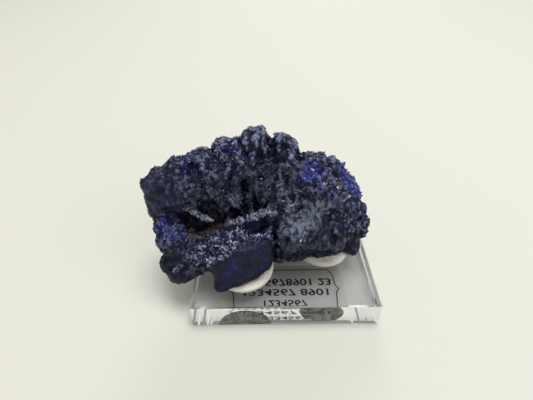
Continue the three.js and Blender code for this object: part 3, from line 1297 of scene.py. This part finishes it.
@dataclass
class Label:
    """The film under the block, and the print on it, which is read from below."""

    node: str = "label_film"
    air: float = 0.012  # mm between the film and the block
    ink_low: float = 0.108  # mm, just inside the block, where the print shows from above
    ink_high: float = 0.13
    stroke: float = 0.3  # mm, width of the printed border
    border_x: tuple[float, float] = (-12.9, 13.3)
    border_y: tuple[float, float] = (-23.1, -8.9)
    bulge: float = 1.6  # mm, how far the sides stand out from the corners
    bracket: float = 1.2  # mm, how far the points in the middle of the sides stand out from that
    lines: tuple[Line, ...] = (
        Line("1234567", left=-5.9, right=6.4, front=-22.0, back=-19.7),
        Line("1234567 8901", left=-11.6, right=12.8, front=-18.3, back=-15.9),
        Line("12345678901 23", left=-13.2, right=14.0, front=-14.8, back=-12.2),
    )

    def build(self, film: PolyesterFilm, toner: LaserToner) -> list[Object]:
        """Makes the film, its border and its numerals.

        Args:
            film: the finish of the film.
            toner: the finish of the print.

        Returns:
            The film, which stands for the CAD film, and the print.
        """
        ink = toner.material()
        return [
            finish_piece("film", self.sheet(), film.material(), [self.node], smooth=False),
            finish_piece("printed_border", self.border(), ink, smooth=False),
            finish_piece("printed_numerals", self.numerals(), ink, smooth=False),
        ]

    def sheet(self) -> Mesh:
        """Makes the film as a thin slab with cut corners.

        Returns:
            The closed mesh of the film.
        """
        low, high = (Vector(corner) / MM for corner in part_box(self.node))
        high.z -= self.air
        size = high - low
        slab = bmesh.new()
        place = Matrix.Translation((low + high) / 2) @ Matrix.Diagonal((*size, 1))
        bmesh.ops.create_cube(slab, size=1, matrix=place)
        upright = [e for e in slab.edges if abs(e.verts[0].co.z - e.verts[1].co.z) > size.z / 2]
        bmesh.ops.bevel(
            slab, geom=upright, offset=1, affect="EDGES", segments=4, profile=0.5, material=-1
        )
        return as_mesh("film", slab)

    def outline(self) -> list[Point]:
        """Works out the border's line: straight front and back, and sides like curly brackets.

        Returns:
            The points of the closed line, in order.
        """
        (left, right), (front, back) = self.border_x, self.border_y
        middle, half = (front + back) / 2, (back - front) / 2
        steps = 40
        side = []
        for i in range(steps + 1):
            share = -1 + 2 * i / steps
            swing = self.bulge * (1 - abs(share) ** 6) + self.bracket * (1 - abs(share)) ** 8
            side.append((swing, middle + half * share))
        right_side = [(right + swing, y, 0.0) for swing, y in side]
        left_side = [(left - swing, y, 0.0) for swing, y in reversed(side)]
        return right_side + left_side

    def border(self) -> Mesh:
        """Makes the border as a flat closed band of ink.

        Returns:
            The closed mesh of the band.
        """
        points = [Vector(p) for p in self.outline()]
        band = bmesh.new()
        rings = []
        for offset in (-self.stroke / 2, self.stroke / 2):
            ring = []
            for i, point in enumerate(points):
                along = points[(i + 1) % len(points)] - points[i - 1]
                outward = Vector((along.y, -along.x, 0)).normalized()
                ring.append(band.verts.new(point + offset * outward))
            rings.append([band.edges.new((ring[i - 1], ring[i])) for i in range(len(ring))])
        bmesh.ops.bridge_loops(band, edges=rings[0] + rings[1])
        return self.thickened(band)

    def thickened(self, flat: BMesh) -> Mesh:
        """Gives a flat mesh at z = 0 the thickness of the ink and puts it in the block.

        Args:
            flat: the flat mesh, which is freed here.

        Returns:
            The closed mesh of the ink.
        """
        pushed = bmesh.ops.extrude_face_region(flat, geom=list(flat.faces), use_keep_orig=True)
        raised = [part for part in pushed["geom"] if isinstance(part, BMVert)]
        bmesh.ops.translate(flat, vec=(0, 0, self.ink_high - self.ink_low), verts=raised)
        bmesh.ops.translate(flat, vec=(0, 0, self.ink_low), verts=flat.verts)
        bmesh.ops.recalc_face_normals(flat, faces=flat.faces)
        return as_mesh("ink", flat)

    def numerals(self) -> Mesh:
        """Makes the lines of numerals, turned over so that they read from below.

        Returns:
            The closed mesh of all the lines.
        """
        print_mesh = bmesh.new()
        for line in self.lines:
            print_mesh.from_mesh(self.typeset(line))
        return self.thickened(print_mesh)

    def typeset(self, line: Line) -> Mesh:
        """Sets one line of numerals as a flat mesh that just fills its place.

        Args:
            line: the numerals and their place.

        Returns:
            The flat mesh at z = 0.
        """
        text = bpy.data.curves.new("line", "FONT")
        text.body = line.numerals
        text.resolution_u = 3
        text.offset = 0.018
        mesh = applied(linked("line", text))
        bpy.data.curves.remove(text)
        points = read_points(mesh)
        low, high = points.min(axis=0), points.max(axis=0)
        share = (points - low) / np.maximum(high - low, 1e-6)
        points[:, 0] = line.left + share[:, 0] * (line.right - line.left)
        points[:, 1] = line.back + share[:, 1] * (line.front - line.back)
        points[:, 2] = 0
        write_points(mesh, points)
        return mesh


# ---- the studio ----


@dataclass(frozen=True)
class Softbox:
    """A soft lamp that points at the specimen."""

    name: str
    at: Point  # m
    size: float  # m
    power: float  # W


@dataclass
class Studio:
    """The pale floor, the soft light and the camera."""

    floor_size: float = 1.7  # m
    floor_drop: float = 0.00003  # m, so that the floor doesn't share a plane with the block
    air_colour: str = "#fffef6"
    air_strength: float = 0.25
    air_seen: float = 0.86
    lamps: tuple[Softbox, ...] = (
        Softbox("ceiling", at=(0.1, 0.03, 1.2), size=0.65, power=7.6),
        Softbox("window", at=(0.7, -0.5, 0.7), size=1, power=2.2),
        Softbox("card", at=(0.1, -1, 0.4), size=1.2, power=1),
        Softbox("back", at=(0.1, 1.15, 0.55), size=0.7, power=4.4),
    )
    bounces: int = 12  # so that light can cross the clear block
    camera_at: Point = (-0.006615, -0.082987, 0.089050)
    pitch: float = 38.16  # degrees below the horizon
    yaw: float = -1.175  # degrees
    roll: float = 0.353  # degrees
    lens: float = 24.58  # mm
    sensor: float = 36  # mm
    aim: Point = (0, 0, 0.02)  # m, where the lamps point

    def build(self) -> None:
        """Makes everything around the specimen."""
        self.make_camera()
        self.make_floor()
        self.make_air()
        for lamp in self.lamps:
            self.make_lamp(lamp)

    def make_camera(self) -> None:
        """Places the camera and makes it the scene's."""
        data = bpy.data.cameras.new("camera")
        data.sensor_width = self.sensor
        data.lens = self.lens
        data.clip_start = 0.005
        data.clip_end = 20
        camera = linked("camera", data)
        turn = (
            Matrix.Rotation(math.radians(self.yaw), 4, "Z")
            @ Matrix.Rotation(math.radians(90 - self.pitch), 4, "X")
            @ Matrix.Rotation(math.radians(self.roll), 4, "Z")
        )
        camera.matrix_world = Matrix.Translation(self.camera_at) @ turn
        bpy.context.scene.camera = camera

    def make_floor(self) -> None:
        """Makes the plain floor."""
        sheet = bmesh.new()
        bmesh.ops.create_grid(sheet, x_segments=1, y_segments=1, size=self.floor_size / 2)
        bmesh.ops.translate(sheet, vec=(0, 0, -self.floor_drop), verts=sheet.verts)
        mesh = as_mesh("floor", sheet)
        mesh.materials.append(PaperSweep().material())
        linked("floor", mesh)

    def make_air(self) -> None:
        """Fills the room with even light."""
        world = bpy.data.worlds.new("studio")
        world.use_nodes = True
        tree = world.node_tree
        tree.nodes.clear()
        seen = add_node(tree, "ShaderNodeLightPath", output="Is Camera Ray")
        inputs = {"Value": seen, "To Min": self.air_strength, "To Max": self.air_seen}
        strength = add_node(tree, "ShaderNodeMapRange", inputs)
        inputs = {"Color": linear(self.air_colour), "Strength": strength}
        light = add_node(tree, "ShaderNodeBackground", inputs)
        add_node(tree, "ShaderNodeOutputWorld", {"Surface": light})
        bpy.context.scene.world = world
        bpy.context.scene.view_settings.view_transform = "Standard"
        bpy.context.scene.cycles.glossy_bounces = self.bounces

    def make_lamp(self, lamp: Softbox) -> None:
        """Hangs one softbox and points it at the specimen.

        Args:
            lamp: the softbox.
        """
        data = bpy.data.lights.new(lamp.name, "AREA")
        data.shape = "DISK"
        data.size = lamp.size
        data.energy = lamp.power
        light = linked(lamp.name, data)
        facing = (Vector(self.aim) - Vector(lamp.at)).to_track_quat("-Z", "Y")
        light.matrix_world = Matrix.Translation(lamp.at) @ facing.to_matrix().to_4x4()


def main() -> None:
    """Builds the studio and then the specimen, piece by piece."""
    logging.basicConfig(level=logging.INFO, format="%(name)s: %(message)s")
    noise.seed_set(NOISE_SEED)
    Studio().build()
    stone = Stone()
    skin = stone.build(AzuriteCrust()).data
    Druse().build(skin, stone.marks, AzuriteCrystal())
    corners = [Vector(p) for p in read_points(skin) / MM]
    tree = BVHTree.FromPolygons(corners, [tuple(face.vertices) for face in skin.polygons])
    for node in ("putty_left", "putty_right"):
        PuttyDab(node).build(tree, MountingPutty())
    DisplayBlock().dress(CastAcrylic())
    Label().build(PolyesterFilm(), LaserToner())


if __name__ == "__main__":
    main()
